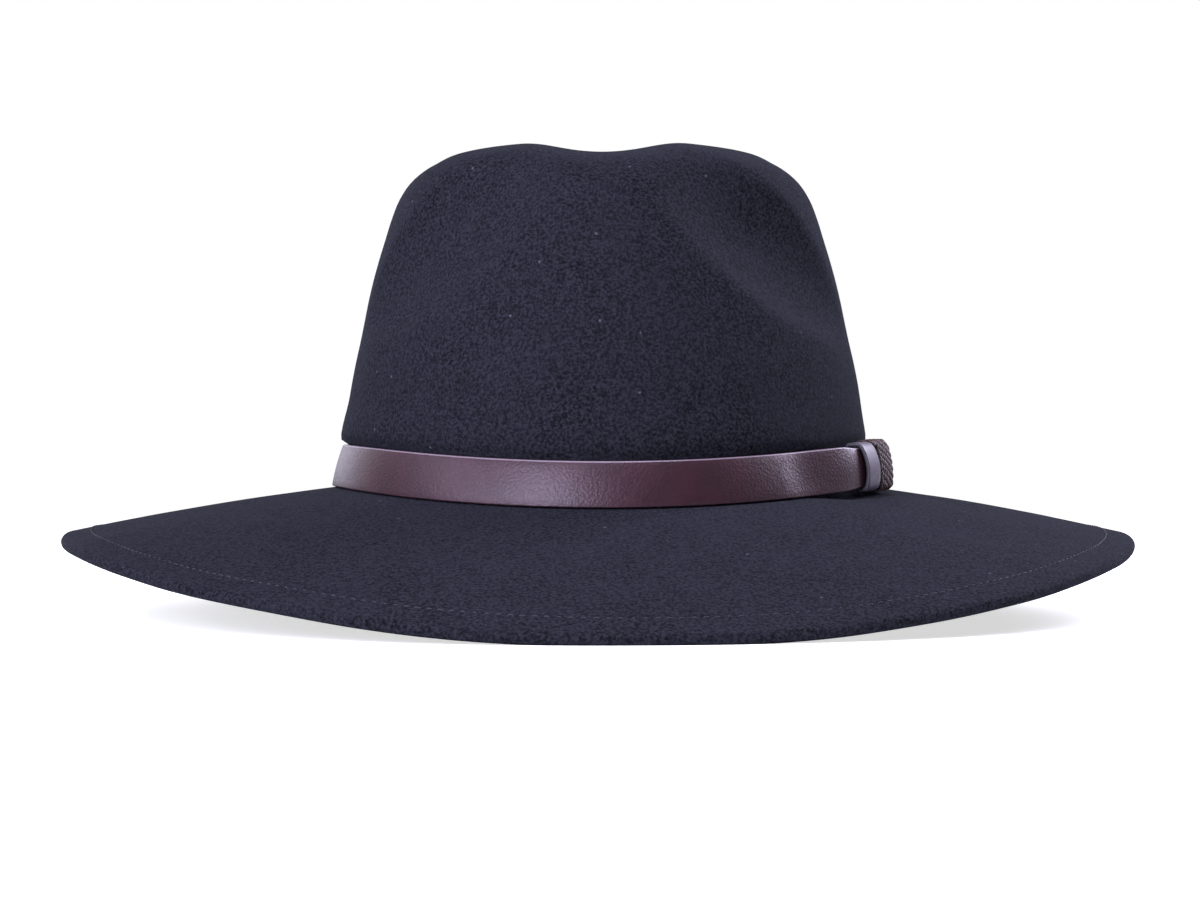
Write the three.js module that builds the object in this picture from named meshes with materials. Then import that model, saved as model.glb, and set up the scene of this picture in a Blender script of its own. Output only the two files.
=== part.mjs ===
// Wide-brimmed fur-felt fedora with a leather strap round the crown. Units are mm, +Z is up,
// the front of the hat looks along -Y and the wearer's left is +X. The hat stands on the front
// and back of its brim. Heights in the tables are counted from the lower edge of the strap at
// the sides of the head.
import * as THREE from "three";

// Head opening and crown, outer face of the felt
const headHalfWidth = 85.9; // half the width at the foot of the crown
const headHalfLength = 103.5; // half the length at the foot of the crown
const crownHeight = 109.2; // dome before the crease is pressed in
const feltThickness = 2;
const breakDip = 7.2; // the line of the brim break is lower at front and back by this

// Brim
const brimHalfWidth = 168.3; // to the rounded edge at the sides
const brimHalfLength = 190; // to the rounded edge at front and back
const brimShift = -2.1; // the brim is cut this far off the crown's middle, to the wearer's right
const edgeDrop = 41.4; // underside of the edge at its lowest, below the strap's lower edge
const hemThickness = 3.4; // felt turned under along the edge
const hemWidth = 9;
const brimCurl = 0.25; // share of the brim's fall that comes late, towards the edge
const contactDepth = 0.6; // how far the edge is flattened where it bears on the table

// Dents
const creaseDepth = 21; // middle crease of the crown top
const creaseHalfWidth = 25; // at the front, where it is narrow
const creasePower = 4; // how quickly its sides steepen to the middle
const creaseBackExtra = 8; // the tear drop widens to the back by this
const creaseFront = [-0.505, 0.25]; // starts and is full at these shares of headHalfLength
const creaseBack = [0.25, 0.74]; // starts to end and has ended
const lipDepth = 2.9; // shallow dip all along the middle of the top, over the front lip too
const lipHalfWidth = 26.2;
const backFall = 6; // the crown top is lower at the back by this
const pinchDepth = 9; // bowl pressed in at the front on the wearer's left
const pinchDepthRight = 5.5; // the same on the wearer's right, pressed less
const pinchAngle = 42; // middle of the bowl, from the front
const pinchHeight = 73; // the same, above the strap's lower edge
const pinchSlant = 31.8; // degrees that its long way falls to the side
const pinchHalfLength = 44;
const pinchHalfWidth = 20;
const pinchRim = 0.12; // softness of its rim, as a share of its size

// Leather strap and what holds its ends
const strapWidth = 13.5;
const strapThickness = 1.4;
const clearance = 0.3; // between pieces that lie on each other
const strapStartAngle = 59.6; // end of the lower layer, under the keeper
const strapEndAngle = 90; // free end of the upper layer
const keeperWidth = 9.5; // along the strap
const keeperThickness = 1.2;
const keeperCorner = 2; // outer radius of its bends
const keeperBow = 0.8; // its face stands off the strap by this in the middle
const keeperAngle = 60; // its middle, from the front towards the wearer's left
const cordDiameter = 1.8;
const cordPitch = 2.3;
const cordTurns = 8;
const wrapAngle = 68.9; // its middle

// Knot, where the keeper and the cord squeeze both layers of the strap
const knotStrapWidth = 12.2;
const knotBow = 0.6; // the strap bows out in the middle by this
const knotUpright = 0.5; // share of the felt's lean that the strap gives up
const knotRise = 0.4;
const knotPress = 1.4; // the felt above the strap is pressed in by this
const knotDip = 1.2; // and the brim beside it is pressed down

const around = 64; // steps round the hat

// Crown from the top down, as shares: height of crownHeight, side of headHalfWidth, front and
// back of headHalfLength
const crownRows = [
  { height: 0.998, side: 0.187, front: 0.1, back: 0.13 },
  { height: 0.994, side: 0.304, front: 0.17, back: 0.24 },
  { height: 0.988, side: 0.409, front: 0.25, back: 0.34 },
  { height: 0.978, side: 0.509, front: 0.335, back: 0.44 },
  { height: 0.962, side: 0.607, front: 0.425, back: 0.53 },
  { height: 0.939, side: 0.653, front: 0.51, back: 0.61 },
  { height: 0.913, side: 0.7, front: 0.588, back: 0.685 },
  { height: 0.881, side: 0.741, front: 0.648, back: 0.744 },
  { height: 0.836, side: 0.776, front: 0.695, back: 0.79 },
  { height: 0.778, side: 0.804, front: 0.735, back: 0.827 },
  { height: 0.719, side: 0.827, front: 0.769, back: 0.855 },
  { height: 0.658, side: 0.851, front: 0.799, back: 0.88 },
  { height: 0.598, side: 0.872, front: 0.826, back: 0.9 },
  { height: 0.538, side: 0.89, front: 0.85, back: 0.916 },
  { height: 0.478, side: 0.905, front: 0.873, back: 0.93 },
  { height: 0.418, side: 0.92, front: 0.894, back: 0.943 },
  { height: 0.359, side: 0.936, front: 0.915, back: 0.954 },
  { height: 0.299, side: 0.95, front: 0.936, back: 0.965 },
  { height: 0.239, side: 0.962, front: 0.955, back: 0.973 },
  { height: 0.199, side: 0.974, front: 0.969, back: 0.978 },
  { height: 0.172, side: 0.982, front: 0.976, back: 0.982 },
  { height: 0.15, side: 0.987, front: 0.979, back: 0.983 },
  { height: 0.134, side: 0.986, front: 0.978, back: 0.981 },
];

// Foot of the crown under the strap and its turn into the brim: height as a share of strapWidth,
// out as a share of feltThickness beyond the head opening
const footRows = [
  { height: 0.97, out: -1.72 },
  { height: 0.49, out: -0.85 },
  { height: 0.02, out: 0 },
  { height: -0.014, out: 0.14 },
  { height: -0.03, out: 0.45 },
  { height: -0.044, out: 1.1 },
];

// Brim edge from the front round to the back: degrees, then the underside as shares of edgeDrop
// on the wearer's right and left
const edgeRows = [
  { angle: 0, right: 0.994, left: 0.994 },
  { angle: 10, right: 0.964, left: 0.994 },
  { angle: 20, right: 0.9, left: 0.958 },
  { angle: 30, right: 0.812, left: 0.888 },
  { angle: 40, right: 0.726, left: 0.801 },
  { angle: 50, right: 0.627, left: 0.704 },
  { angle: 60, right: 0.543, left: 0.614 },
  { angle: 70, right: 0.49, left: 0.533 },
  { angle: 80, right: 0.446, left: 0.471 },
  { angle: 90, right: 0.435, left: 0.44 },
  { angle: 100, right: 0.425, left: 0.446 },
  { angle: 110, right: 0.438, left: 0.477 },
  { angle: 120, right: 0.497, left: 0.533 },
  { angle: 130, right: 0.592, left: 0.609 },
  { angle: 140, right: 0.7, left: 0.702 },
  { angle: 150, right: 0.806, left: 0.805 },
  { angle: 160, right: 0.9, left: 0.9 },
  { angle: 170, right: 0.969, left: 0.969 },
  { angle: 180, right: 0.995, left: 0.995 },
];

const rad = Math.PI / 180;
const smooth = (a, b, x) => {
  const t = Math.min(1, Math.max(0, (x - a) / (b - a)));
  return t * t * (3 - 2 * t);
};

// Value of a table column at an angle, with a smooth curve through the rows
function edgeShare(degrees) {
  const turned = ((((degrees + 180) % 360) + 360) % 360) - 180;
  const column = turned < 0 ? "right" : "left";
  const step = 10;
  const at = Math.abs(turned) / step;
  const last = edgeRows.length - 1;
  const i = Math.min(last - 1, Math.floor(at));
  const t = at - i;
  const row = (k) => {
    if (k < 0) return edgeRows[-k][column === "left" ? "right" : "left"];
    if (k > last) return edgeRows[2 * last - k][column === "left" ? "right" : "left"];
    return edgeRows[k][column];
  };
  const [a, b, c, d] = [row(i - 1), row(i), row(i + 1), row(i + 2)];
  return b + 0.5 * t * (c - a + t * (2 * a - 5 * b + 4 * c - d + t * (3 * (b - c) + d - a)));
}

// How far a point of the crown is pressed in at the front pinches: two bowls with a soft rim
function pinch(degrees, height) {
  const side = Math.abs(degrees);
  if (side > 120) return 0;
  const [cos, sin] = [Math.cos(pinchSlant * rad), Math.sin(pinchSlant * rad)];
  const arc = (side - pinchAngle) * rad * 0.86 * headHalfWidth;
  const rise = height - pinchHeight;
  const a = arc * cos - rise * sin;
  const b = arc * sin + rise * cos;
  const bowl = 1 - (a / pinchHalfLength) ** 2 - (b / pinchHalfWidth) ** 2;
  const depth = degrees > 0 ? pinchDepth : pinchDepthRight;
  return (depth * (bowl + Math.hypot(bowl, pinchRim))) / 2;
}

// Height taken off by the crease, by the dip over its lips and by the fall to the back
function topDrop(x, y, height) {
  const share = height / crownHeight;
  const along = y / headHalfLength;
  const half = creaseHalfWidth + creaseBackExtra * smooth(-50, 40, y);
  const r = Math.min(1, Math.abs(x) / half);
  const ends = smooth(creaseFront[0], creaseFront[1], along) *
    (1 - smooth(creaseBack[0], creaseBack[1], along));
  const crease = creaseDepth * (1 - r * r) ** creasePower * ends * smooth(0.6, 0.9, share);
  const lipShare = Math.min(1, Math.abs(x) / lipHalfWidth);
  const lip = lipDepth * (1 - lipShare * lipShare) ** 2 * smooth(0.8, 0.95, share);
  return crease + lip + backFall * smooth(-20, 80, y) * share ** 2;
}

// How far the knot is in force at an angle, 0 to 1
function knotShare(degrees) {
  return smooth(40, 56, degrees) * (1 - smooth(78, 92, degrees));
}

// A point of the crown's outer face
function crownPoint(row, degrees) {
  const t = degrees * rad;
  const length = Math.cos(t) > 0 ? row.front : row.back;
  const x = row.side * headHalfWidth * Math.sin(t);
  const y = -length * headHalfLength * Math.cos(t);
  const height = row.height * crownHeight;
  const turned = ((((degrees + 180) % 360) + 360) % 360) - 180;
  const press = knotPress * knotShare(turned) * (1 - smooth(0.14, 0.26, row.height));
  const inwards = pinch(turned, height) + press;
  const n = new THREE.Vector2(Math.sin(t) / headHalfWidth, -Math.cos(t) / headHalfLength);
  n.normalize();
  const dip = breakDip * Math.cos(t) ** 2 * (1 - smooth(0, 0.75, row.height));
  const z = height - dip - topDrop(x, y, height);
  return new THREE.Vector3(x - n.x * inwards, y - n.y * inwards, z);
}

// A point near the head opening: out and up from the strap's lower edge line
function footPoint(degrees, out, up) {
  const t = degrees * rad;
  const n = new THREE.Vector2(Math.sin(t) / headHalfWidth, -Math.cos(t) / headHalfLength);
  n.normalize();
  return new THREE.Vector3(
    headHalfWidth * Math.sin(t) + n.x * out,
    -headHalfLength * Math.cos(t) + n.y * out,
    up - breakDip * Math.cos(t) ** 2,
  );
}

// A point of the crown's foot, in a row of its table
function footRowPoint(row, degrees) {
  const turn = Math.max(0, row.height / footRows[footRows.length - 1].height);
  const up = row.height * strapWidth - knotDip * turn * knotShare(degrees);
  return footPoint(degrees, row.out * feltThickness, up);
}

// A point of the brim's upper face, share 0 at the crown and 1 at the edge
function brimPoint(degrees, share) {
  const t = degrees * rad;
  const inner = footRowPoint(footRows[footRows.length - 1], degrees);
  const edge = new THREE.Vector3(
    brimShift + brimHalfWidth * Math.sin(t),
    -brimHalfLength * Math.cos(t),
    -edgeDrop * edgeShare(degrees) + hemThickness,
  );
  const fall = (1 - brimCurl) * share + brimCurl * share * share;
  const p = inner.clone().lerp(edge, share);
  p.z = inner.z + (edge.z - inner.z) * fall;
  return p;
}

// One closed skin from rings of points, a point at each end
function skin(rings, first, last) {
  const n = rings[0].length;
  const points = [first, ...rings.flat(), last];
  const faces = [];
  const at = (ring, k) => 1 + ring * n + ((k + n) % n);
  for (let k = 0; k < n; k++) faces.push(0, at(0, k), at(0, k + 1));
  for (let r = 0; r + 1 < rings.length; r++) {
    for (let k = 0; k < n; k++) {
      faces.push(at(r, k), at(r + 1, k), at(r + 1, k + 1));
      faces.push(at(r, k), at(r + 1, k + 1), at(r, k + 1));
    }
  }
  const end = points.length - 1;
  for (let k = 0; k < n; k++) faces.push(end, at(rings.length - 1, k + 1), at(rings.length - 1, k));
  return toGeometry(points, faces);
}

function toGeometry(points, faces) {
  const geometry = new THREE.BufferGeometry();
  const flat = points.flatMap((p) => [p.x, p.y, p.z]);
  geometry.setAttribute("position", new THREE.Float32BufferAttribute(flat, 3));
  geometry.setIndex(faces);
  geometry.computeVertexNormals();
  return geometry;
}

// One closed tube from cross-sections that all hold the same number of points
function sweep(sections) {
  const n = sections[0].length;
  const points = sections.flat();
  const faces = [];
  const at = (s, k) => s * n + ((k + n) % n);
  for (let s = 0; s + 1 < sections.length; s++) {
    for (let k = 0; k < n; k++) {
      faces.push(at(s, k), at(s + 1, k + 1), at(s + 1, k));
      faces.push(at(s, k), at(s, k + 1), at(s + 1, k + 1));
    }
  }
  for (let k = 1; k + 1 < n; k++) {
    faces.push(at(0, 0), at(0, k + 1), at(0, k));
    const e = sections.length - 1;
    faces.push(at(e, 0), at(e, k), at(e, k + 1));
  }
  return toGeometry(points, faces);
}

// Felt: the outer face ring by ring, round the turned edge, then back along the inner face
const degreesOf = (k) => (k * 360) / around;
const round = (make) => Array.from({ length: around }, (_, k) => make(degreesOf(k)));
const brimShares = [0.1, 0.22, 0.34, 0.46, 0.58, 0.7, 0.82, 0.91];
const brimReach = brimHalfWidth - headHalfWidth;
const edgeShareStart = 1 - hemThickness / 2 / brimReach;
const outer = [
  ...crownRows.map((row) => round((d) => crownPoint(row, d))),
  ...footRows.map((row) => round((d) => footRowPoint(row, d))),
  ...brimShares.map((share) => round((d) => brimPoint(d, share))),
  round((d) => brimPoint(d, edgeShareStart)),
];
const top = new THREE.Vector3(0, 0, crownHeight - topDrop(0, 0, crownHeight));

// Outward direction of the outer face at a point of the grid
function normalAt(ring, k) {
  const n = around;
  const up = ring > 0 ? outer[ring - 1][k] : outer[0][(k + n / 2) % n];
  const down = ring + 1 < outer.length ? outer[ring + 1][k] : outer[ring][k];
  const along = down.clone().sub(up);
  const across = outer[ring][(k + 1) % n].clone().sub(outer[ring][(k + n - 1) % n]);
  return along.cross(across).normalize();
}

const hemStart = 1 - hemWidth / brimReach;
const lastRing = outer.length - 1;
const fold = [30, 60, 90, 120, 150].map((turn) =>
  outer[lastRing].map((p, k) => {
    const n = normalAt(lastRing, k);
    const out = p.clone().sub(outer[lastRing - 1][k]).normalize();
    const r = hemThickness / 2;
    return p
      .clone()
      .addScaledVector(n, -r + r * Math.cos(turn * rad))
      .addScaledVector(out, r * Math.sin(turn * rad));
  }),
);
const below = (ring, k, depth) => outer[ring][k].clone().addScaledVector(normalAt(ring, k), -depth);
const under = [];
under.push(outer[lastRing].map((p, k) => below(lastRing, k, hemThickness)));
for (const [share, depth] of [
  [hemStart, hemThickness],
  [hemStart - 0.8 / brimReach, feltThickness],
]) {
  under.push(
    outer[lastRing].map((_, k) => {
      const n = normalAt(lastRing - 1, k);
      return brimPoint(degreesOf(k), share).addScaledVector(n, -depth);
    }),
  );
}
const crownRings = crownRows.length;
const keepInside = (ring) => ring >= crownRings || ring % 2 === 1 || ring === crownRings - 1;
const brimStart = crownRings + footRows.length;
for (let ring = lastRing - 2; ring > 0; ring--) {
  if (!keepInside(ring)) continue;
  if (ring >= brimStart && (ring - brimStart) % 2 === 1) continue;
  under.push(outer[ring].map((_, k) => below(ring, k, feltThickness)));
}
const feltRings = [...outer, ...fold, ...under];
const insideTop = top.clone();
insideTop.z -= feltThickness;

// Strap: at the knot it stands off the felt, because the keeper and the cord pass behind it
const [wallTop, wallFoot] = [footRows[0], footRows[2]];
const wallHeight = (wallTop.height - wallFoot.height) * strapWidth;
const lean = Math.atan2((wallFoot.out - wallTop.out) * feltThickness, wallHeight);
const middle = strapWidth / 2;
const knotSeat = knotUpright * middle * Math.sin(lean);
const knotStandOff = (degrees) => (cordDiameter + clearance + knotSeat) * knotShare(degrees);
const knotLow = clearance + knotStandOff(wrapAngle);
const layerStep = strapThickness + clearance;
const packDepth = 2 * strapThickness + clearance;
const strapNarrowing = (degrees) => smooth(51.6, 56.6, degrees) * (1 - smooth(78, 88, degrees));

// A point beside the crown's foot: depth level outward from the felt, height along its slope
function wallPoint(degrees, depth, height) {
  const knot = knotShare(degrees % 360);
  const away = height - middle;
  const upright = away * Math.sin(lean) * knotUpright;
  const bow = knotBow * Math.max(0, 1 - (away / (knotStrapWidth / 2)) ** 2);
  const out = depth - height * Math.sin(lean) + knot * (upright + bow);
  return footPoint(degrees, out, height * Math.cos(lean) + knot * knotRise);
}

function strapSection(degrees, depth) {
  const narrow = strapNarrowing(degrees % 360);
  const half = (strapWidth + (knotStrapWidth - strapWidth) * narrow) / 2;
  const far = depth + strapThickness;
  return [
    wallPoint(degrees, far, middle),
    wallPoint(degrees, far, middle - half),
    wallPoint(degrees, depth, middle - half),
    wallPoint(degrees, depth, middle),
    wallPoint(degrees, depth, middle + half),
    wallPoint(degrees, far, middle + half),
  ];
}

const strapStations = [strapStartAngle];
for (let k = 0; k < 4 * around; k++) {
  const d = degreesOf(k) / 2;
  const knot = d % 360 > 39 && d % 360 < 108;
  if (k % 2 === 1 && !knot) continue;
  if (d > strapStartAngle + 1 && d < 360 + strapEndAngle - 1) strapStations.push(d);
}
strapStations.push(360 + strapEndAngle);
const strapSections = strapStations.map((d) => {
  const upper = layerStep * smooth(360 + 40, 360 + 56, d);
  return strapSection(d, clearance + knotStandOff(d % 360) + upper);
});

// Keeper: a loop of leather round both layers, its cross-section lying across the strap
const arcPerDegree = (degrees) => {
  const t = degrees * rad;
  return rad * Math.hypot(headHalfWidth * Math.cos(t), headHalfLength * Math.sin(t));
};
const keeperHeight = knotStrapWidth + 2 * (clearance + keeperThickness);
function keeperLoop(degrees, inset) {
  const depthLow = knotLow - clearance - keeperThickness + inset;
  const depthHigh = knotLow + packDepth + clearance + keeperThickness - inset;
  const half = keeperHeight / 2 - inset;
  const r = keeperCorner - inset;
  const points = [];
  const put = (depth, height) => {
    const outer = depth > depthLow + r ? 1 : 0;
    const bow = outer * keeperBow * (1 - (height / half) ** 2);
    points.push(wallPoint(degrees, depth + bow, middle + height));
  };
  for (const [sx, sz, from] of [[1, -1, -90], [1, 1, 0], [-1, 1, 90], [-1, -1, 180]]) {
    for (const turn of [0, 45, 90]) {
      const a = (from + turn) * rad;
      const cx = sx > 0 ? depthHigh - r : depthLow + r;
      const cz = sz > 0 ? half - r : -half + r;
      put(cx + r * Math.cos(a), cz + r * Math.sin(a));
    }
    if (sx > 0 && sz < 0) for (const share of [-0.5, 0, 0.5]) put(depthHigh, share * (half - r));
    if (sx < 0 && sz > 0) put(depthLow, 0);
  }
  return points;
}
const keeperStations = [-1, -0.5, 0, 0.5, 1].map(
  (s) => keeperAngle + (s * keeperWidth) / 2 / arcPerDegree(keeperAngle),
);
const keeperOuter = keeperStations.map((d) => keeperLoop(d, 0));
const keeperInner = keeperStations.map((d) => keeperLoop(d, keeperThickness));
const loopPoints = [...keeperOuter.flat(), ...keeperInner.flat()];
const loopFaces = [];
const loopCount = keeperOuter[0].length;
const innerBase = keeperOuter.length * loopCount;
for (let k = 0; k < loopCount; k++) {
  const next = (k + 1) % loopCount;
  const quad = (a, b, c, d) => loopFaces.push(a, b, c, a, c, d);
  for (let s = 0; s + 1 < keeperOuter.length; s++) {
    const [a, b] = [s * loopCount, (s + 1) * loopCount];
    quad(a + k, b + k, b + next, a + next);
    quad(innerBase + a + k, innerBase + a + next, innerBase + b + next, innerBase + b + k);
  }
  const end = (keeperOuter.length - 1) * loopCount;
  quad(k, next, innerBase + next, innerBase + k);
  quad(end + k, innerBase + end + k, innerBase + end + next, end + next);
}

// Cord wound round both layers beside the keeper
const cordRadius = cordDiameter / 2;
const bend = clearance + cordRadius;
const cordSteps = [];
const halfHigh = knotStrapWidth / 2;
for (const [depth, height, from] of [
  [knotLow + packDepth, -halfHigh, -90],
  [knotLow + packDepth, halfHigh, 0],
  [knotLow, halfHigh, 90],
  [knotLow, -halfHigh, 180],
]) {
  for (const turn of [0, 30, 60, 90]) {
    const a = (from + turn) * rad;
    cordSteps.push([depth + bend * Math.cos(a), height + bend * Math.sin(a)]);
  }
  if (from === -90) cordSteps.push([depth + bend, 0]);
  if (from === 90) cordSteps.push([depth - bend, 0]);
}
const wrapStart = wrapAngle - (cordTurns * cordPitch) / 2 / arcPerDegree(wrapAngle);
const cordPath = [];
for (let i = 0; i <= cordTurns * cordSteps.length; i++) {
  const [depth, height] = cordSteps[i % cordSteps.length];
  const along = (i / cordSteps.length) * cordPitch;
  const d = wrapStart + along / arcPerDegree(wrapAngle);
  cordPath.push(wallPoint(d, depth, middle + height));
}
const cordSides = 6;
const cordSections = cordPath.map((p, i) => {
  const before = cordPath[Math.max(0, i - 1)];
  const after = cordPath[Math.min(cordPath.length - 1, i + 1)];
  const along = after.clone().sub(before).normalize();
  const strapWay = wallPoint(wrapAngle + 1, 0, 0).sub(wallPoint(wrapAngle - 1, 0, 0)).normalize();
  const u = strapWay.clone().addScaledVector(along, -along.dot(strapWay)).normalize();
  const v = along.clone().cross(u);
  return Array.from({ length: cordSides }, (_, k) => {
    const a = (k * 2 * Math.PI) / cordSides;
    return p
      .clone()
      .addScaledVector(u, cordRadius * Math.cos(a))
      .addScaledVector(v, cordRadius * Math.sin(a));
  });
});

const feltColour = new THREE.Color("#31323d");
const leatherColour = new THREE.Color("#583e48");
const cordColour = new THREE.Color("#46302c");
const felt = new THREE.MeshStandardMaterial({ color: feltColour, roughness: 0.95 });
const leather = new THREE.MeshStandardMaterial({ color: leatherColour, roughness: 0.45 });
const keeperLeather = new THREE.MeshStandardMaterial({ color: leatherColour, roughness: 0.4 });
const cord = new THREE.MeshStandardMaterial({ color: cordColour, roughness: 0.6 });

const pieces = [
  ["felt_body", skin(feltRings, top, insideTop), felt],
  ["leather_band", sweep(strapSections), leather],
  ["keeper", toGeometry(loopPoints, loopFaces), keeperLeather],
  ["cord_wrap", sweep(cordSections), cord],
];

// Stand the hat on the table with the middle of its outline over the origin
pieces[0][1].computeBoundingBox();
const box = pieces[0][1].boundingBox;
const lift = [
  -(box.min.x + box.max.x) / 2,
  -(box.min.y + box.max.y) / 2,
  -box.min.z - contactDepth,
];
const group = new THREE.Group();
for (const [name, geometry, material] of pieces) {
  geometry.translate(...lift);
  const position = geometry.getAttribute("position");
  for (let i = 0; i < position.count; i++) position.setZ(i, Math.max(0, position.getZ(i)));
  const mesh = new THREE.Mesh(geometry, material);
  mesh.name = name;
  group.add(mesh);
}

export default group;
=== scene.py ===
# Wide-brimmed fedora of dark fur felt with a leather strap round the crown, standing on a pale
# table. The CAD frame is in metres, +Z up, the front of the hat along -Y; sizes here are in mm.
import math

import bpy
import numpy as np
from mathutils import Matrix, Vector, noise


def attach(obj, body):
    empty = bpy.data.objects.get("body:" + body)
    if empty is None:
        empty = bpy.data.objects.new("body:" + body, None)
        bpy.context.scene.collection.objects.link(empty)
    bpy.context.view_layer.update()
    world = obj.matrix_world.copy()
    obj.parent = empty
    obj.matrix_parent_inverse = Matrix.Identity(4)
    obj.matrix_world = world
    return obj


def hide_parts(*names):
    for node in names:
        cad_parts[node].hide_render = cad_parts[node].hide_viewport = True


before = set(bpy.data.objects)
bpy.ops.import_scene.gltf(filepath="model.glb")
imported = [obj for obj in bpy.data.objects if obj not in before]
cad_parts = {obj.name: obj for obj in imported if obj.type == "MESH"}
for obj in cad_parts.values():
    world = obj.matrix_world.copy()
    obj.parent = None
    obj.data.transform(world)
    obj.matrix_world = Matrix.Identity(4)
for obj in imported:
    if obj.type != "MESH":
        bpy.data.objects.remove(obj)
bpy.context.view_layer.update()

# Felt body
# One cone of fur felt, steamed and pulled over a wooden block: crown and brim are one piece,
# the crease and the two front pinches are pressed in by hand, and the edge is turned under.

mm = 0.001
head_half_width = 85.9
head_half_length = 103.5
crown_height = 109.2
felt_thickness = 2.0
break_dip = 7.2
brim_half_width = 168.3
brim_half_length = 190.0
brim_shift = -2.1
edge_drop = 41.4
hem_thickness = 3.4
hem_width = 9.0
brim_curl = 0.25
contact_depth = 0.6
crease_depth = 21.0
crease_half_width = 25.0
crease_power = 4
crease_back_extra = 8.0
back_fall = 6.0
back_fall_range = (-20, 80)
crease_front = (-0.505, 0.25)
crease_back = (0.25, 0.74)
crease_widening = (-50, 40)
crease_heights = (0.6, 0.9)
lip_depth = 2.9
lip_half_width = 26.2
lip_heights = (0.8, 0.95)
pinch_depth_left = 9.0
pinch_depth_right = 5.5
pinch_angle = 42.0
pinch_height = 73.0
pinch_slant = 31.8
pinch_half_length = 44.0
pinch_half_width = 20.0
pinch_rim = 0.12
pinch_bend = 0.86
pinch_end_angle = 120
strap_width = 13.5
knot_start = (40, 56)
knot_end = (78, 92)
knot_rise = 0.4
knot_press = 1.4
press_rising = (0.05, 0.134)
press_falling = (0.14, 0.26)
knot_dip = 1.2

# Crown from the top down, as shares: height of crown_height, side of head_half_width, front
# and back of head_half_length
crown_rows = np.array([
    (0.998, 0.187, 0.1, 0.13),
    (0.994, 0.304, 0.17, 0.24),
    (0.988, 0.409, 0.25, 0.34),
    (0.978, 0.509, 0.335, 0.44),
    (0.962, 0.607, 0.425, 0.53),
    (0.939, 0.653, 0.51, 0.61),
    (0.913, 0.7, 0.588, 0.685),
    (0.881, 0.741, 0.648, 0.744),
    (0.836, 0.776, 0.695, 0.79),
    (0.778, 0.804, 0.735, 0.827),
    (0.719, 0.827, 0.769, 0.855),
    (0.658, 0.851, 0.799, 0.88),
    (0.598, 0.872, 0.826, 0.9),
    (0.538, 0.89, 0.85, 0.916),
    (0.478, 0.905, 0.873, 0.93),
    (0.418, 0.92, 0.894, 0.943),
    (0.359, 0.936, 0.915, 0.954),
    (0.299, 0.95, 0.936, 0.965),
    (0.239, 0.962, 0.955, 0.973),
    (0.199, 0.974, 0.969, 0.978),
    (0.172, 0.982, 0.976, 0.982),
    (0.15, 0.987, 0.979, 0.983),
    (0.134, 0.986, 0.978, 0.981),
])
# Foot of the crown: height as a share of strap_width, out as a share of felt_thickness
foot_rows = [(0.97, -1.72), (0.49, -0.85), (0.02, 0.0), (-0.014, 0.14), (-0.03, 0.45), (-0.044, 1.1)]
# Underside of the brim's edge every 10 degrees from the front to the back, as shares of
# edge_drop, on the wearer's right and left
edge_right = [0.994, 0.964, 0.9, 0.812, 0.726, 0.627, 0.543, 0.49, 0.446, 0.435,
              0.425, 0.438, 0.497, 0.592, 0.7, 0.806, 0.9, 0.969, 0.995]
edge_left = [0.994, 0.994, 0.958, 0.888, 0.801, 0.704, 0.614, 0.533, 0.471, 0.44,
             0.446, 0.477, 0.533, 0.609, 0.702, 0.805, 0.9, 0.969, 0.995]


def smooth(a, b, x):
    t = np.clip((x - a) / (b - a), 0, 1)
    return t * t * (3 - 2 * t)


def edge_share(degrees):
    """Height of the edge at angles round the hat, 0 at the front, positive to the wearer's left"""
    ring = np.array(edge_left + edge_right[-2:0:-1])
    at = np.asarray(degrees, float) % 360 / 10
    i = np.floor(at).astype(int)
    t = at - i
    a, b, c, d = (ring[(i + k) % len(ring)] for k in (-1, 0, 1, 2))
    return b + 0.5 * t * (c - a + t * (2 * a - 5 * b + 4 * c - d + t * (3 * (b - c) + d - a)))


def oval_normal(degrees):
    t = np.radians(degrees)
    n = np.stack([np.sin(t) / head_half_width, -np.cos(t) / head_half_length], -1)
    return n / np.linalg.norm(n, axis=-1, keepdims=True)


def pinch(degrees, height):
    """How far the crown is pressed in at the front pinches"""
    side = np.abs(degrees)
    arc = np.radians(side - pinch_angle) * pinch_bend * head_half_width
    rise = height - pinch_height
    slant = math.radians(pinch_slant)
    a = arc * math.cos(slant) - rise * math.sin(slant)
    b = arc * math.sin(slant) + rise * math.cos(slant)
    bowl = 1 - (a / pinch_half_length) ** 2 - (b / pinch_half_width) ** 2
    depth = np.where(degrees > 0, pinch_depth_left, pinch_depth_right)
    pressed = depth * (bowl + np.sqrt(bowl ** 2 + pinch_rim ** 2)) / 2
    return np.where(side > pinch_end_angle, 0, pressed)


def top_drop(x, y, height):
    """Height taken off the crown by its crease, the dip over its lips and its fall to the back"""
    share = height / crown_height
    along = y / head_half_length
    half = crease_half_width + crease_back_extra * smooth(*crease_widening, y)
    r = np.clip(np.abs(x) / half, 0, 1)
    ends = smooth(*crease_front, along) * (1 - smooth(*crease_back, along))
    bowl = (1 - r * r) ** crease_power
    crease = crease_depth * bowl * ends * smooth(*crease_heights, share)
    lip_share = np.clip(np.abs(x) / lip_half_width, 0, 1)
    lip = lip_depth * (1 - lip_share ** 2) ** 2 * smooth(*lip_heights, share)
    return crease + lip + back_fall * smooth(*back_fall_range, y) * share ** 2


def foot_point(degrees, out, up):
    """A point near the head opening, out from its oval and up from the strap's lower edge"""
    t = np.radians(degrees)
    n = oval_normal(degrees)
    x = head_half_width * np.sin(t) + n[..., 0] * out
    y = -head_half_length * np.cos(t) + n[..., 1] * out
    return np.stack([x, y, up - break_dip * np.cos(t) ** 2], -1)


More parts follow.
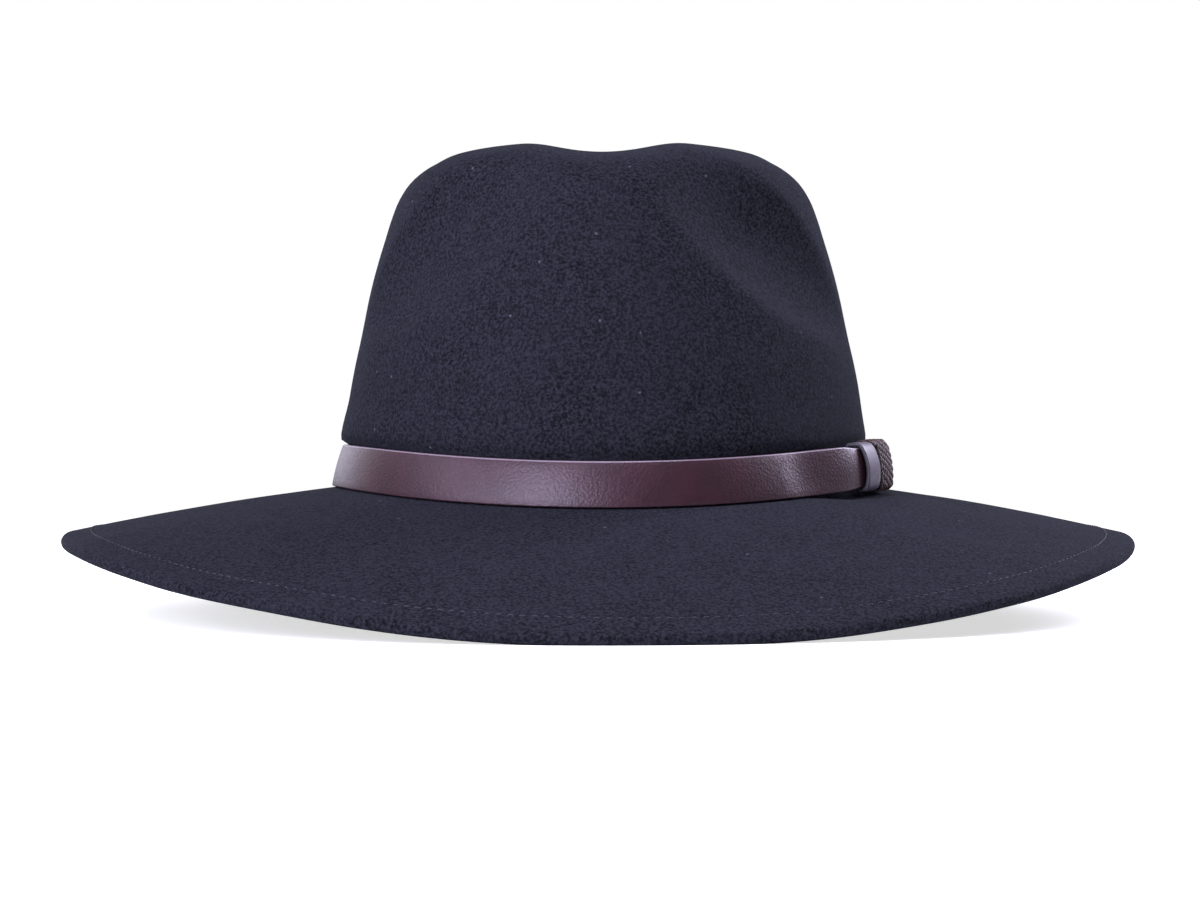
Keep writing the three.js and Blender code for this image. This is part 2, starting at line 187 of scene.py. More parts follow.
def knot_share(degrees):
    """How far the strap's knot is in force at an angle: the felt gives way around it"""
    turn = np.asarray(degrees, float) % 360
    return smooth(*knot_start, turn) * (1 - smooth(*knot_end, turn))


def foot_row_point(degrees, up, out):
    below = max(0, up / foot_rows[-1][0])
    dip = knot_dip * below * knot_share(degrees)
    return foot_point(degrees, out * felt_thickness, up * strap_width - dip)


def brim_point(degrees, share):
    """A point of the brim's upper face, share 0 at the crown and 1 at the edge"""
    t = np.radians(degrees)
    inner = foot_row_point(degrees, *foot_rows[-1])
    edge = np.stack([
        brim_shift + brim_half_width * np.sin(t),
        -brim_half_length * np.cos(t),
        hem_thickness - edge_drop * edge_share(degrees),
    ], -1)
    p = inner + (edge - inner) * share
    fall = (1 - brim_curl) * share + brim_curl * share ** 2
    p[..., 2] = inner[..., 2] + (edge[..., 2] - inner[..., 2]) * fall
    return p


def through(rows, spacing):
    """Rings on smooth curves through the given rings; the first ring only steers the start"""
    steps = np.linalg.norm(np.diff(rows[..., :3], axis=0), axis=-1)[..., None]
    steps = np.maximum(steps, 1e-6)
    slope = np.diff(rows, axis=0) / steps
    made = []
    for i in range(1, len(rows) - 1):
        before = (slope[i - 1] * steps[i] + slope[i] * steps[i - 1]) / (steps[i - 1] + steps[i])
        if i + 2 < len(rows):
            after = slope[i] * steps[i + 1] + slope[i + 1] * steps[i]
            after = after / (steps[i] + steps[i + 1])
        else:
            after = slope[i]
        count = max(1, round(float(steps[i].mean()) / spacing))
        for t in np.arange(count) / count:
            here = (2 * t ** 3 - 3 * t ** 2 + 1) * rows[i]
            leaving = (t ** 3 - 2 * t ** 2 + t) * before * steps[i]
            there = (3 * t ** 2 - 2 * t ** 3) * rows[i + 1]
            arriving = (t ** 3 - t ** 2) * after * steps[i]
            made.append(here + leaving + there + arriving)
    return np.array(made + [rows[-1]])


def grid_normals(grid):
    along = np.gradient(grid, axis=0)
    across = np.roll(grid, -1, axis=1) - np.roll(grid, 1, axis=1)
    n = np.cross(along, across)
    return n / np.maximum(np.linalg.norm(n, axis=-1, keepdims=True), 1e-9)


def make_mesh(name, points, faces, place, uv=None):
    """A smooth piece from points in mm and their faces, moved to its place in the frame"""
    mesh = bpy.data.meshes.new(name)
    points = (np.asarray(points).reshape(-1, 3) + place) * mm
    mesh.from_pydata(points.tolist(), [], faces)
    mesh.polygons.foreach_set("use_smooth", np.ones(len(mesh.polygons), bool))
    if uv is not None:
        layer = mesh.uv_layers.new(name="length_and_girth")
        corners = np.empty(len(mesh.loops), int)
        mesh.loops.foreach_get("vertex_index", corners)
        layer.data.foreach_set("uv", np.asarray(uv)[corners].ravel())
    made = bpy.data.objects.new(name, mesh)
    bpy.context.scene.collection.objects.link(made)
    return made


def tube_faces(rings, count, first=0):
    """Quads between closed rings of count points, ring after ring"""
    ring, k = np.meshgrid(np.arange(rings - 1), np.arange(count), indexing="ij")
    a = first + ring * count + k
    b = first + ring * count + (k + 1) % count
    return np.stack([a, a + count, b + count, b], -1).reshape(-1, 4).tolist()


felt_around = 288
felt_spacing = 1.9
break_fade = 0.75
brim_shares = [0.05, 0.12, 0.22, 0.34, 0.46, 0.58, 0.7, 0.82]
felt_angles = np.arange(felt_around) * 360 / felt_around
turned = (felt_angles + 180) % 360 - 180
t = np.radians(felt_angles)
control = []
for height, side, front, back in crown_rows:
    x = side * head_half_width * np.sin(t)
    y = -np.where(np.cos(t) > 0, front, back) * head_half_length * np.cos(t)
    dip = break_dip * np.cos(t) ** 2 * (1 - smooth(0, break_fade, height))
    up = height * crown_height
    control.append(np.stack([x, y, up - dip, np.full_like(x, up)], -1))
pole = np.zeros((felt_around, 4))
pole[:, 2:] = crown_height
control = [np.roll(control[0], felt_around // 2, axis=0), pole] + control
for up, out in foot_rows:
    p = foot_row_point(felt_angles, up, out)
    control.append(np.concatenate([p, np.zeros((felt_around, 1))], -1))
brim_reach = brim_half_width - head_half_width
edge_start = 1 - hem_thickness / 2 / brim_reach
for share in brim_shares + [edge_start]:
    p = brim_point(felt_angles, share)
    control.append(np.concatenate([p, np.zeros((felt_around, 1))], -1))
skin = through(np.array(control), felt_spacing)
x, y, z, up = (skin[..., k] for k in range(4))
z = z - top_drop(x, y, up)
share = up / crown_height
inwards = pinch(turned[None, :], up)
pressed = smooth(*press_rising, share) * (1 - smooth(*press_falling, share))
inwards += knot_press * knot_share(felt_angles) * pressed
n = oval_normal(felt_angles)
outer = np.stack([x - n[:, 0] * inwards, y - n[:, 1] * inwards, z], -1)

# A hand-shaped felt is never quite even: soft waves of a few tenths of a mm, none at the strap
wave_height = 0.35
wave_length = 34.0
crown_waves_from = (20, 34)
brim_waves_from = (95, 110)
oval_ratio = 0.83
waves = np.array([[noise.noise(Vector(p) / wave_length) for p in ring] for ring in outer])
from_middle = np.hypot(outer[..., 0], outer[..., 1] * oval_ratio)
wavy = smooth(*crown_waves_from, outer[..., 2]) + smooth(*brim_waves_from, from_middle)
outer = outer + grid_normals(outer) * (waves * wave_height * np.clip(wavy, 0, 1))[..., None]

# The turned edge, the hem under it and the inner face, which has every second ring only
hem_taper = 2.4
fine_beyond_hem = 3.0
last = outer[-1]
normal = grid_normals(outer)
out = outer[-1] - outer[-2]
out = out / np.linalg.norm(out, axis=-1, keepdims=True)
radius = hem_thickness / 2
fold = []
for a in np.radians(np.arange(15, 166, 15)):
    fold.append(last + normal[-1] * radius * (np.cos(a) - 1) + out * radius * np.sin(a))
rise = np.linalg.norm(outer - outer[-1], axis=-1).mean(axis=1)
inner = [last - normal[-1] * hem_thickness]
for ring in range(len(outer) - 2, 0, -1):
    far = rise[ring]
    if ring % 2 and far > hem_width + fine_beyond_hem:
        continue
    turned_under = 1 - smooth(hem_width - hem_taper, hem_width, far)
    depth = felt_thickness + (hem_thickness - felt_thickness) * turned_under
    inner.append(outer[ring] - normal[ring] * depth)
felt_rings = np.concatenate([outer[1:], fold, inner])
top = outer[0].mean(axis=0)
under_top = top - [0, 0, felt_thickness]
felt_points = np.concatenate([felt_rings.reshape(-1, 3), [top, under_top]])
count = len(felt_points) - 2
k = np.arange(felt_around)
faces = tube_faces(len(felt_rings), felt_around)
faces += np.stack([np.full(felt_around, count), k, (k + 1) % felt_around], -1).tolist()
end = count - felt_around
faces += np.stack([np.full(felt_around, count + 1), end + (k + 1) % felt_around, end + k], -1).tolist()

# The hat stands on the front and back of its brim, where the edge is pressed a little flat
low, high = felt_points.min(axis=0), felt_points.max(axis=0)
place = np.array([-(low[0] + high[0]) / 2, -(low[1] + high[1]) / 2, -low[2] - contact_depth])
felt_points[:, 2] = np.maximum(felt_points[:, 2], -place[2])
felt = make_mesh("felt_hat_body", felt_points, faces, place)


def linear(code):
    """An sRGB hex colour as linear light"""
    values = [int(code[k:k + 2], 16) / 255 for k in (1, 3, 5)]
    return tuple(v / 12.92 if v <= 0.04045 else ((v + 0.055) / 1.055) ** 2.4 for v in values) + (1,)


def new_material(name):
    made = bpy.data.materials.new(name)
    made.use_nodes = True
    made.node_tree.nodes.clear()
    return made


def add(material, kind, sockets={}, **settings):
    """Adds a node: settings are its own, and each socket gets a value or another socket's link"""
    made = material.node_tree.nodes.new(kind)
    for name, value in settings.items():
        setattr(made, name, value)
    for name, value in sockets.items():
        if isinstance(value, bpy.types.NodeSocket):
            material.node_tree.links.new(value, made.inputs[name])
        else:
            made.inputs[name].default_value = value
    return made


def mixed(material, share, first, second):
    """A colour between two, each a value or another socket's link"""
    sockets = {0: share, 6: first, 7: second}
    return add(material, "ShaderNodeMix", sockets, data_type="RGBA").outputs[2]


def spread(material, value, low, high, at_low=0.0, at_high=1.0):
    """A value's range from low to high, stretched and clamped to another range"""
    sockets = {"Value": value, "From Min": low, "From Max": high, "To Min": at_low, "To Max": at_high}
    return add(material, "ShaderNodeMapRange", sockets).outputs[0]


def raised(material, height, strength, distance, below={}):
    sockets = {"Height": height, "Strength": strength, "Distance": distance, **below}
    return add(material, "ShaderNodeBump", sockets).outputs[0]


def cover(piece, material, sockets):
    """Ends a material with its shader and puts it on its piece"""
    shader = add(material, "ShaderNodeBsdfPrincipled", sockets)
    add(material, "ShaderNodeOutputMaterial", {"Surface": shader.outputs[0]})
    piece.data.materials.append(material)


# Fur felt, pounced: short beaver-like fibres matted in all directions. To the eye it is a soft
# dark blue-grey without gloss, finely speckled, and paler where the nap is seen edge on.
fur = new_material("pounced_fur_felt")
at = add(fur, "ShaderNodeTexCoord").outputs["Object"]
# single fibres are 0.02 mm thick: drawn as tufts of 1 mm, the finest the picture can hold
tufts = add(fur, "ShaderNodeTexNoise", {"Vector": at, "Scale": 1150, "Detail": 2, "Roughness": 0.7})
tuft_share = spread(fur, tufts.outputs[0], 0.36, 0.64)
speckle = mixed(fur, tuft_share, linear("#08080b"), linear("#2a2a32"))
# the nap lies a little differently from place to place, in patches of about 2 cm
clouds = add(fur, "ShaderNodeTexNoise", {"Vector": at, "Scale": 48, "Detail": 4, "Roughness": 0.55})
cloud_share = spread(fur, clouds.outputs[0], 0.3, 0.7, 0, 0.3)
napped = mixed(fur, cloud_share, speckle, linear("#27272f"))
# a few pale specks of lint, up to 1 mm across
lint = add(fur, "ShaderNodeTexVoronoi", {"Vector": at, "Scale": 90, "Randomness": 1.0})
lint_share = spread(fur, lint.outputs["Distance"], 0.02, 0.05, 0.4, 0)
linted = mixed(fur, lint_share, napped, linear("#6f7180"))
# lumps of 2 to 3 mm where the felt is thicker or thinner, and the tufts on them
lumps = add(fur, "ShaderNodeTexNoise", {"Vector": at, "Scale": 420, "Detail": 3, "Roughness": 0.6})
lump_bump = raised(fur, lumps.outputs[0], 0.5, 0.25 * mm)
tuft_bump = raised(fur, tufts.outputs[0], 0.6, 0.18 * mm, {"Normal": lump_bump})
cover(felt, fur, {
    "Base Color": linted, "Roughness": 0.95, "Specular IOR Level": 0.05,
    "Sheen Weight": 0.02, "Sheen Roughness": 0.45, "Sheen Tint": linear("#a9b2d6"),
    "Normal": tuft_bump,
})
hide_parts("felt_body")
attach(felt, "root")

# Hem stitching
# A lockstitch in blue-grey sewing thread holds the turned edge, 7 mm in from it all round: the
# same row shows on the brim's upper face and on the hem below.

stitch_inset = 7.0
stitch_pitch = 3.0
stitch_length = 1.75
length_spread = 0.5
thread_radius = 0.17
thread_lift = 0.1
thread_sink = 0.45
fine = np.arange(0, 360, 0.05)
stitch_share = 1 - stitch_inset / brim_reach
line = brim_point(fine, stitch_share)
walked = np.concatenate([[0], np.cumsum(np.linalg.norm(np.diff(line, axis=0), axis=-1))])
stitch_count = round(walked[-1] / stitch_pitch)
ring_at = int(np.argmin(np.abs(rise - stitch_inset)))
points, faces = [], []
sides, stations = 6, np.linspace(-1, 1, 7)
for level in (0, 1):  # the brim's upper face, then the hem below
    for s in range(stitch_count):
        middle = (s + 0.5 * level) * walked[-1] / stitch_count
        uneven = noise.noise(Vector((s * 0.37, level * 9.0, 0.5)))
        reach = stitch_length / 2 + length_spread * uneven
        for station in stations:
            here = (middle + station * reach) % walked[-1]
            degrees = np.interp(here, walked, fine)
            at_ring = degrees / 360 * felt_around
            i = int(at_ring) % felt_around
            f = at_ring - int(at_ring)
            j = (i + 1) % felt_around
            p = outer[ring_at, i] * (1 - f) + outer[ring_at, j] * f
            up_way = normal[ring_at, i]
            ahead = outer[ring_at, j] - outer[ring_at, i]
            ahead = ahead / np.linalg.norm(ahead)
            side_way = np.cross(up_way, ahead)
            r = thread_radius * math.sqrt(max(0.02, 1 - station ** 4))
            sunk = thread_sink * abs(station) ** 3
            lift = thread_lift - sunk
            if level == 1:
                lift = -(hem_thickness + thread_lift - sunk)
            for q in range(sides):
                a = 2 * math.pi * q / sides
                points.append(p + up_way * (lift + r * math.sin(a)) + side_way * r * math.cos(a))
        first = len(points) - sides * len(stations)
        faces += tube_faces(len(stations), sides, first)
thread = make_mesh("hem_stitches", points, faces, place)

# Spun polyester thread: to the eye a little lighter than the felt and hardly seen, with a faint
# sheen. Its plies are drawn 0.4 mm wide, coarser than they are, so that the picture holds them.
spun = new_material("blue_grey_sewing_thread")
at = add(spun, "ShaderNodeTexCoord").outputs["Object"]
plies = add(spun, "ShaderNodeTexNoise", {"Vector": at, "Scale": 2500, "Detail": 1})
cover(thread, spun, {
    "Base Color": mixed(spun, plies.outputs[0], linear("#181a21"), linear("#2d313b")),
    "Roughness": 0.6, "Normal": raised(spun, plies.outputs[0], 0.5, 0.1 * mm),
})
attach(thread, "root")

# Leather strap
# A strap of burgundy bridle leather lies round the foot of the crown. Its two ends overlap on
# the wearer's left, where the keeper and the cord hold them; there it is pinched narrower.

strap_thickness = 1.4
strap_corner = 0.42
strap_crown = 0.35
clearance = 0.3
cord_diameter = 1.8
strap_start_angle = 59.6
strap_end_angle = 450.0
knot_strap_width = 12.2
knot_bow = 0.6
knot_upright = 0.5
narrowing = (51.6, 56.6)
widening = (78, 88)
overlap_start = (36, 40)
overlap_end = (94, 100)
station_step = 0.75
end_rounding = 0.9
end_slimming = 0.35
strap_middle = strap_width / 2
wall = (foot_rows[0][0] - foot_rows[2][0]) * strap_width
lean = math.atan2((foot_rows[2][1] - foot_rows[0][1]) * felt_thickness, wall)
knot_stand_off = cord_diameter + clearance + knot_upright * strap_middle * math.sin(lean)


def wall_point(degrees, depth, height):
    """Beside the crown's foot: depth level outward from the felt, height along its slope"""
    away = height - strap_middle
    upright = away * math.sin(lean) * knot_upright
    bow = knot_bow * np.maximum(0, 1 - (away / (knot_strap_width / 2)) ** 2)
    knot = knot_share(degrees)
    out = depth - height * math.sin(lean) + knot * (upright + bow)
    return foot_point(degrees, out, height * math.cos(lean) + knot * knot_rise)


def rounded_section(width, height, corner, steps, flats):
    """Outline of a rounded rectangle about its middle, and its place round the outline, 0 to 1"""
    points = []
    for sx, sy, start in ((1, 1, 0), (-1, 1, 90), (-1, -1, 180), (1, -1, 270)):
        centre = np.array([sx * (width / 2 - corner), sy * (height / 2 - corner)])
        arc = []
        for a in np.radians(start + np.linspace(0, 90, steps)):
            arc.append(centre + corner * np.array([math.cos(a), math.sin(a)]))
        if points:
            for f in np.arange(1, flats) / flats:
                points.append(arc_end * (1 - f) + arc[0] * f)
        points += arc
        arc_end = arc[-1]
    for f in np.arange(1, flats) / flats:
        points.append(arc_end * (1 - f) + points[0] * f)
    points = np.array(points)
    walk = np.linalg.norm(np.roll(points, -1, axis=0) - points, axis=1)
    return points, np.concatenate([[0], np.cumsum(walk)[:-1]]) / walk.sum()


station_angles = np.arange(strap_start_angle, strap_end_angle + 0.01, station_step)
section, girth = rounded_section(strap_thickness, strap_width, strap_corner, 5, 8)
strap_points, strap_uv = [], []
gone = 0.0
for degrees in station_angles:
    turn = degrees % 360
    narrow = smooth(*narrowing, turn) * (1 - smooth(*widening, turn))
    squeeze = (strap_width + (knot_strap_width - strap_width) * narrow) / strap_width
    upper = (strap_thickness + clearance) * smooth(*knot_start, degrees - 360)
    depth = clearance + knot_stand_off * knot_share(degrees) + upper + strap_thickness / 2
    end = min(degrees - strap_start_angle, strap_end_angle - degrees)
    slim = 1 - end_slimming * (1 - smooth(0, end_rounding, end))
    single = 1 - smooth(*overlap_start, turn) * (1 - smooth(*overlap_end, turn))
    outward = smooth(0, 1, section[:, 0] * 2 / strap_thickness)
    crowned = strap_crown * single * outward * (1 - (section[:, 1] * 2 / strap_width) ** 2)
    here = wall_point(np.full(len(section), degrees), depth + section[:, 0] * slim + crowned,
                      strap_middle + section[:, 1] * squeeze * slim)
    if strap_points:
        gone += np.linalg.norm(here.mean(axis=0) - strap_points[-1].mean(axis=0))
    strap_points.append(here)
    strap_uv.append(np.stack([np.full(len(section), gone * mm), girth], -1))
count = len(section)
rings = len(strap_points)
faces = [f[::-1] for f in tube_faces(rings, count)]
middles = [strap_points[0].mean(axis=0), strap_points[-1].mean(axis=0)]
points = np.concatenate(strap_points + [middles])
uv = np.concatenate(strap_uv + [[[0, 0], [gone * mm, 0]]])
for k in range(count):
    after = (k + 1) % count
    faces.append([rings * count, k, after])
    faces.append([rings * count + 1, (rings - 1) * count + after, (rings - 1) * count + k])
strap = make_mesh("leather_strap", points, faces, place, uv)

# Bridle leather, waxed: burgundy with a fine pebble and a satin shine, which shows lilac in this
# light, and a painted highlight: a thin pale line coloured along its upper bevel
bridle = new_material("waxed_bridle_leather")
coords = add(bridle, "ShaderNodeTexCoord")
at = coords.outputs["Object"]
# pebbles 0.8 mm across, creases 1 mm apart, and darker and paler patches of 1 cm
pebbles = add(bridle, "ShaderNodeTexVoronoi", {"Vector": at, "Scale": 1300, "Randomness": 1.0})
creases = add(bridle, "ShaderNodeTexNoise", {"Vector": at, "Scale": 900, "Detail": 3, "Roughness": 0.6})
stain = add(bridle, "ShaderNodeTexNoise", {"Vector": at, "Scale": 90, "Detail": 4, "Roughness": 0.6})
stain_share = spread(bridle, stain.outputs[0], 0.3, 0.7)
tanned = mixed(bridle, stain_share, linear("#2a161b"), linear("#381d25"))
# painted highlight: the upper outer bevel is coloured pale lilac-grey, standing in for light from above
# caught on it
round_strap = add(bridle, "ShaderNodeSeparateXYZ", {"Vector": coords.outputs["UV"]}).outputs["Y"]
bevel_highlight_share = spread(bridle, round_strap, 0.006, 0.02, 0.9, 0)
bevel_highlighted = mixed(bridle, bevel_highlight_share, tanned, linear("#8a7a86"))
pebble_bump = raised(bridle, pebbles.outputs["Distance"], 0.5, 0.12 * mm)
cover(strap, bridle, {
    "Base Color": bevel_highlighted, "Roughness": spread(bridle, creases.outputs[0], 0.3, 0.7, 0.37, 0.47),
    "IOR": 1.5, "Specular Tint": (1, 0.88, 1, 1),
    "Normal": raised(bridle, creases.outputs[0], 0.3, 0.1 * mm, {"Normal": pebble_bump}),
})
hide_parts("leather_band")
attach(strap, "root")

# Keeper
# A short loop of leather, plated smoother than the strap and coloured paler and greyer as a painted
# sheen, closed behind the strap and slid over both of its layers. Its edges are cut square and stained
# dark.

keeper_width = 9.5
keeper_thickness = 1.2
keeper_corner = 2.0
keeper_bow = 0.8
keeper_angle = 60.0
keeper_height = knot_strap_width + 2 * (clearance + keeper_thickness)
pack_low = clearance + knot_stand_off
pack_depth = 2 * strap_thickness + clearance


def arc_per_degree(degrees):
    t = math.radians(degrees)
    return math.radians(1) * math.hypot(head_half_width * math.cos(t), head_half_length * math.sin(t))


loop_depth = pack_depth + 2 * clearance + 2 * keeper_thickness
loop_middle = pack_low + pack_depth / 2
edge_round = 0.3
half = keeper_width / 2
flat = half - edge_round
profile = []
for a in np.radians(np.linspace(0, 90, 4)):
    profile.append((flat + edge_round * math.sin(a), edge_round * (1 - math.cos(a))))
for a in np.radians(np.linspace(90, 180, 4)):
    inset = keeper_thickness - edge_round * (1 + math.cos(a))
    profile.append((flat + edge_round * math.sin(a), inset))
mirrored = [(-s, i) for s, i in profile[::-1]]
outer_face = [(s, 0.0) for s in np.linspace(-flat, flat, 8)[1:-1]]
inner_face = [(s, keeper_thickness) for s in np.linspace(flat, -flat, 6)[1:-1]]
profile = outer_face + profile + inner_face + mirrored
keeper_points = []
for shift, inset in profile:
    half_depth, half_high = loop_depth / 2 - inset, keeper_height / 2 - inset
    loop, loop_girth = rounded_section(2 * half_depth, 2 * half_high, keeper_corner - inset, 7, 10)
    outer_share = smooth(-0.6, 0.6, loop[:, 0] / half_depth)
    bow = keeper_bow * outer_share * np.maximum(0, 1 - (loop[:, 1] / half_high) ** 2)
    degrees = keeper_angle + shift / arc_per_degree(keeper_angle)
    keeper_points.append(wall_point(np.full(len(loop), degrees), loop_middle + loop[:, 0] + bow,
                                    strap_middle + loop[:, 1]))
keeper_points.append(keeper_points[0])
count = len(keeper_points[0])
faces = tube_faces(len(keeper_points), count)
faces = (np.array(faces) % (count * (len(keeper_points) - 1))).tolist()
points = np.concatenate(keeper_points[:-1])
uv = np.concatenate([np.stack([np.full(count, s * mm), loop_girth], -1) for s, i in profile])
keeper = make_mesh("strap_keeper", points, faces, place, uv)

# Plated leather: smooth and almost without grain, so that it catches the light in one broad sheet,
# with faint upright streaks 0.7 mm apart and dark cut edges; its pale lilac face colour is a painted
# sheen
plated = new_material("plated_keeper_leather")
coords = add(plated, "ShaderNodeTexCoord")
upright = add(plated, "ShaderNodeMapping", {"Vector": coords.outputs["Object"], "Scale": (1, 1, 0.12)})
streaks = add(plated, "ShaderNodeTexNoise", {"Vector": upright.outputs[0], "Scale": 1400, "Detail": 3})
# painted sheen: these face colours are paler and greyer than the strap's leather, standing in for light
# it catches from the right
face = mixed(plated, streaks.outputs[0], linear("#4a4150"), linear("#5c5262"))
across = add(plated, "ShaderNodeSeparateXYZ", {"Vector": coords.outputs["UV"]}).outputs["X"]
off_middle = add(plated, "ShaderNodeMath", {0: across}, operation="ABSOLUTE").outputs[0]
rim_share = spread(plated, off_middle, (half - 0.29) * mm, (half - 0.13) * mm, 0, 0.85)
cover(keeper, plated, {
    "Base Color": mixed(plated, rim_share, face, linear("#1d1a20")),
    "Roughness": 0.48, "IOR": 1.5, "Normal": raised(plated, streaks.outputs[0], 0.3, 0.08 * mm),
})
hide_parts("keeper")
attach(keeper, "root")

# Cord wrap
# Waxed three-ply linen cord, wound eight times round both layers of the strap, close beside the
# keeper. It holds the strap's ends.

cord_pitch = 2.3
cord_turns = 8
wrap_angle = 68.9
ply_radius = 0.45
ply_offset = 0.44
twist_pitch = 6.5
cord_step = 0.4
corner = clearance + cord_diameter / 2
loop, loop_girth = rounded_section(
    pack_depth + 2 * corner, knot_strap_width + 2 * corner, corner, 9, 12,
)
loop_length = np.linalg.norm(np.roll(loop, -1, axis=0) - loop, axis=1).sum()
steps = int(cord_turns * loop_length / cord_step)
wrap_start = wrap_angle - cord_turns * cord_pitch / 2 / arc_per_degree(wrap_angle)
share = np.linspace(0, cord_turns, steps)
closed = np.concatenate([loop, loop[:1]])
closed_girth = np.concatenate([loop_girth, [1]])
depth = np.interp(share % 1, closed_girth, closed[:, 0])
height = np.interp(share % 1, closed_girth, closed[:, 1])
degrees = wrap_start + share * cord_pitch / arc_per_degree(wrap_angle)
path = wall_point(degrees, loop_middle + depth, strap_middle + height)
ahead = np.gradient(path, axis=0)
ahead = ahead / np.linalg.norm(ahead, axis=-1, keepdims=True)
way = wall_point(degrees + 0.5, 0, 0) - wall_point(degrees - 0.5, 0, 0)
side_way = way - ahead * (way * ahead).sum(-1, keepdims=True)
side_way = side_way / np.linalg.norm(side_way, axis=-1, keepdims=True)
up_way = np.cross(ahead, side_way)
walked = np.concatenate([[0], np.cumsum(np.linalg.norm(np.diff(path, axis=0), axis=-1))])
sides = 8
points, faces, uv = [], [], []
for ply in np.radians((0, 120, 240)):
    turn = (2 * math.pi * walked / twist_pitch + ply)[:, None]
    centre = path + ply_offset * (side_way * np.cos(turn) + up_way * np.sin(turn))
    first = len(points) * sides
    for i in range(len(path)):
        a = 2 * math.pi * np.arange(sides)[:, None] / sides
        points.append(centre[i] + ply_radius * (side_way[i] * np.cos(a) + up_way[i] * np.sin(a)))
        sideways = ply_offset * math.cos(turn[i, 0]) + ply_radius * np.cos(a)
        uv.append(np.concatenate([sideways * mm, np.full((sides, 1), walked[i] * mm)], -1))
    faces += tube_faces(len(path), sides, first)
    ends = first, first + (len(path) - 1) * sides
    faces.append([ends[0] + q for q in range(sides)])
    faces.append([ends[1] + q for q in range(sides)][::-1])
cord = make_mesh("twisted_cord_wrap", np.concatenate(points), faces, place, np.concatenate(uv))

# Waxed linen cord: to the eye reddish brown and dull, with fibres along each ply. They are drawn
# 0.45 mm wide, coarser than they are, so that the picture holds them.
waxed = new_material("waxed_linen_cord")
coords = add(waxed, "ShaderNodeTexCoord")
at = coords.outputs["Object"]
fibres = add(waxed, "ShaderNodeTexNoise", {"Vector": at, "Scale": 2200, "Detail": 2})
dyed = mixed(waxed, fibres.outputs[0], linear("#2c191b"), linear("#543737"))
# painted shade: the cord is coloured darker towards the sides of its plies, where one turn lies against
# the next
across = add(waxed, "ShaderNodeSeparateXYZ", {"Vector": coords.outputs["UV"]}).outputs["X"]
off_middle = add(waxed, "ShaderNodeMath", {0: across}, operation="ABSOLUTE").outputs[0]
groove_painted_shade_share = spread(waxed, off_middle, 0.3 * mm, 0.8 * mm, 0, 0.85)
cover(cord, waxed, {
    "Base Color": mixed(waxed, groove_painted_shade_share, dyed, linear("#0e0808")),
    "Roughness": 0.55, "Normal": raised(waxed, fibres.outputs[0], 0.6, 0.15 * mm),
})
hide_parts("cord_wrap")
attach(cord, "root")

# Table top
# A pale matt table top that runs on beyond the picture.

table_half = 6.0
mesh = bpy.data.meshes.new("table_top")
corners = [(table_half * x, table_half * y, 0) for x, y in ((-1, -1), (1, -1), (1, 1), (-1, 1))]
mesh.from_pydata(corners, [], [(0, 1, 2, 3)])
table = bpy.data.objects.new("table_top", mesh)
bpy.context.scene.collection.objects.link(table)
# Matt white lacquer: an even pale ground with a soft shadow, and the camera sees it glow more with
# the distance from the hat, so that it runs into the white backdrop without a horizon
lacquer = new_material("matt_white_lacquer")
at = add(lacquer, "ShaderNodeTexCoord").outputs["Object"]
from_hat = add(lacquer, "ShaderNodeVectorMath", {0: at}, operation="LENGTH").outputs["Value"]
glow = spread(lacquer, from_hat, 0.2, 0.9, 0.66, 1.0)
seen = add(lacquer, "ShaderNodeLightPath").outputs["Is Camera Ray"]
glow_seen = add(lacquer, "ShaderNodeMath", {0: glow, 1: seen}, operation="MULTIPLY").outputs[0]
cover(table, lacquer, {
    "Base Color": linear("#f6f6f6"), "Roughness": 0.8, "Specular IOR Level": 0.1,
    "Emission Color": (1, 1, 1, 1), "Emission Strength": glow_seen,
})

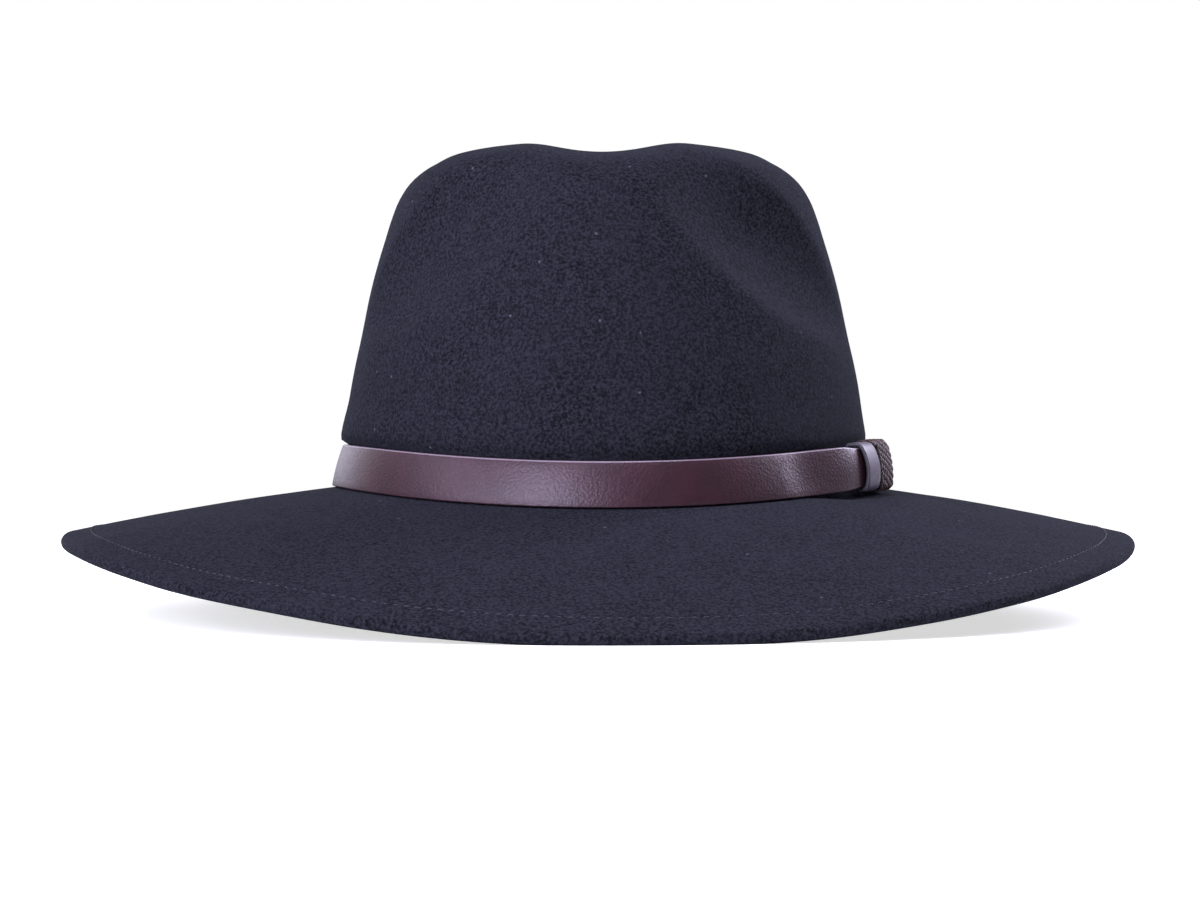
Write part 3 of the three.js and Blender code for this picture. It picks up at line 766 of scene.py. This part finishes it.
# Studio light
# A dim room with a white backdrop behind the hat, seen as pure white, and six soft boxes of
# slightly blue daylight: above, two in front, one to the left, and two behind.

scene = bpy.context.scene
room = bpy.data.worlds.new("room_with_white_backdrop")
room.use_nodes = True
sky = room.node_tree.nodes["Background"]
way = add(room, "ShaderNodeTexCoord").outputs["Generated"]
apart = add(room, "ShaderNodeSeparateXYZ", {"Vector": way})
backdrop = spread(room, apart.outputs["Y"], 0.1, 0.6, 0.06, 0.4)
seen = add(room, "ShaderNodeLightPath").outputs["Is Camera Ray"]
strength = add(room, "ShaderNodeMath", {0: backdrop, 1: seen}, operation="MAXIMUM")
room.node_tree.links.new(strength.outputs[0], sky.inputs["Strength"])
sky.inputs["Color"].default_value = (1, 1, 1, 1)
scene.world = room
scene.view_settings.view_transform = "Standard"
soft_box = 0.6
soft_box_distance = 1.4
soft_box_aim = Vector((0, 0, 0.07))
daylight = (0.8, 0.8, 1.0)
for name, azimuth, elevation, power in (
    ("light_above", 0, 75, 18.5),
    ("light_front_left", -60, 12, 6.0),
    ("light_front", -28, 20, 18.5),
    ("light_left", -80, 30, 4.0),
    ("light_back_right", 119, 30, 20.5),
    ("light_back_left", -145, 15, 3.0),
):
    data = bpy.data.lights.new(name, "AREA")
    data.size = soft_box
    data.energy = power
    data.color = daylight
    lamp = bpy.data.objects.new(name, data)
    a, e = math.radians(azimuth), math.radians(elevation)
    toward = Vector((math.sin(a) * math.cos(e), -math.cos(a) * math.cos(e), math.sin(e)))
    lamp.location = soft_box_aim + soft_box_distance * toward
    lamp.rotation_euler = (soft_box_aim - lamp.location).to_track_quat("-Z", "Y").to_euler()
    scene.collection.objects.link(lamp)

# Camera
# In front of the hat at the height of its brim, 0.7 m from its middle and almost level.

eye = bpy.data.cameras.new("camera")
eye.sensor_width = 36
eye.lens = 64.6
camera = bpy.data.objects.new("camera", eye)
camera.location = (0.00232, -0.7, 0.03324)
camera.rotation_euler = (math.radians(90 + 1.477), 0, math.radians(0.138))
scene.collection.objects.link(camera)
scene.camera = camera
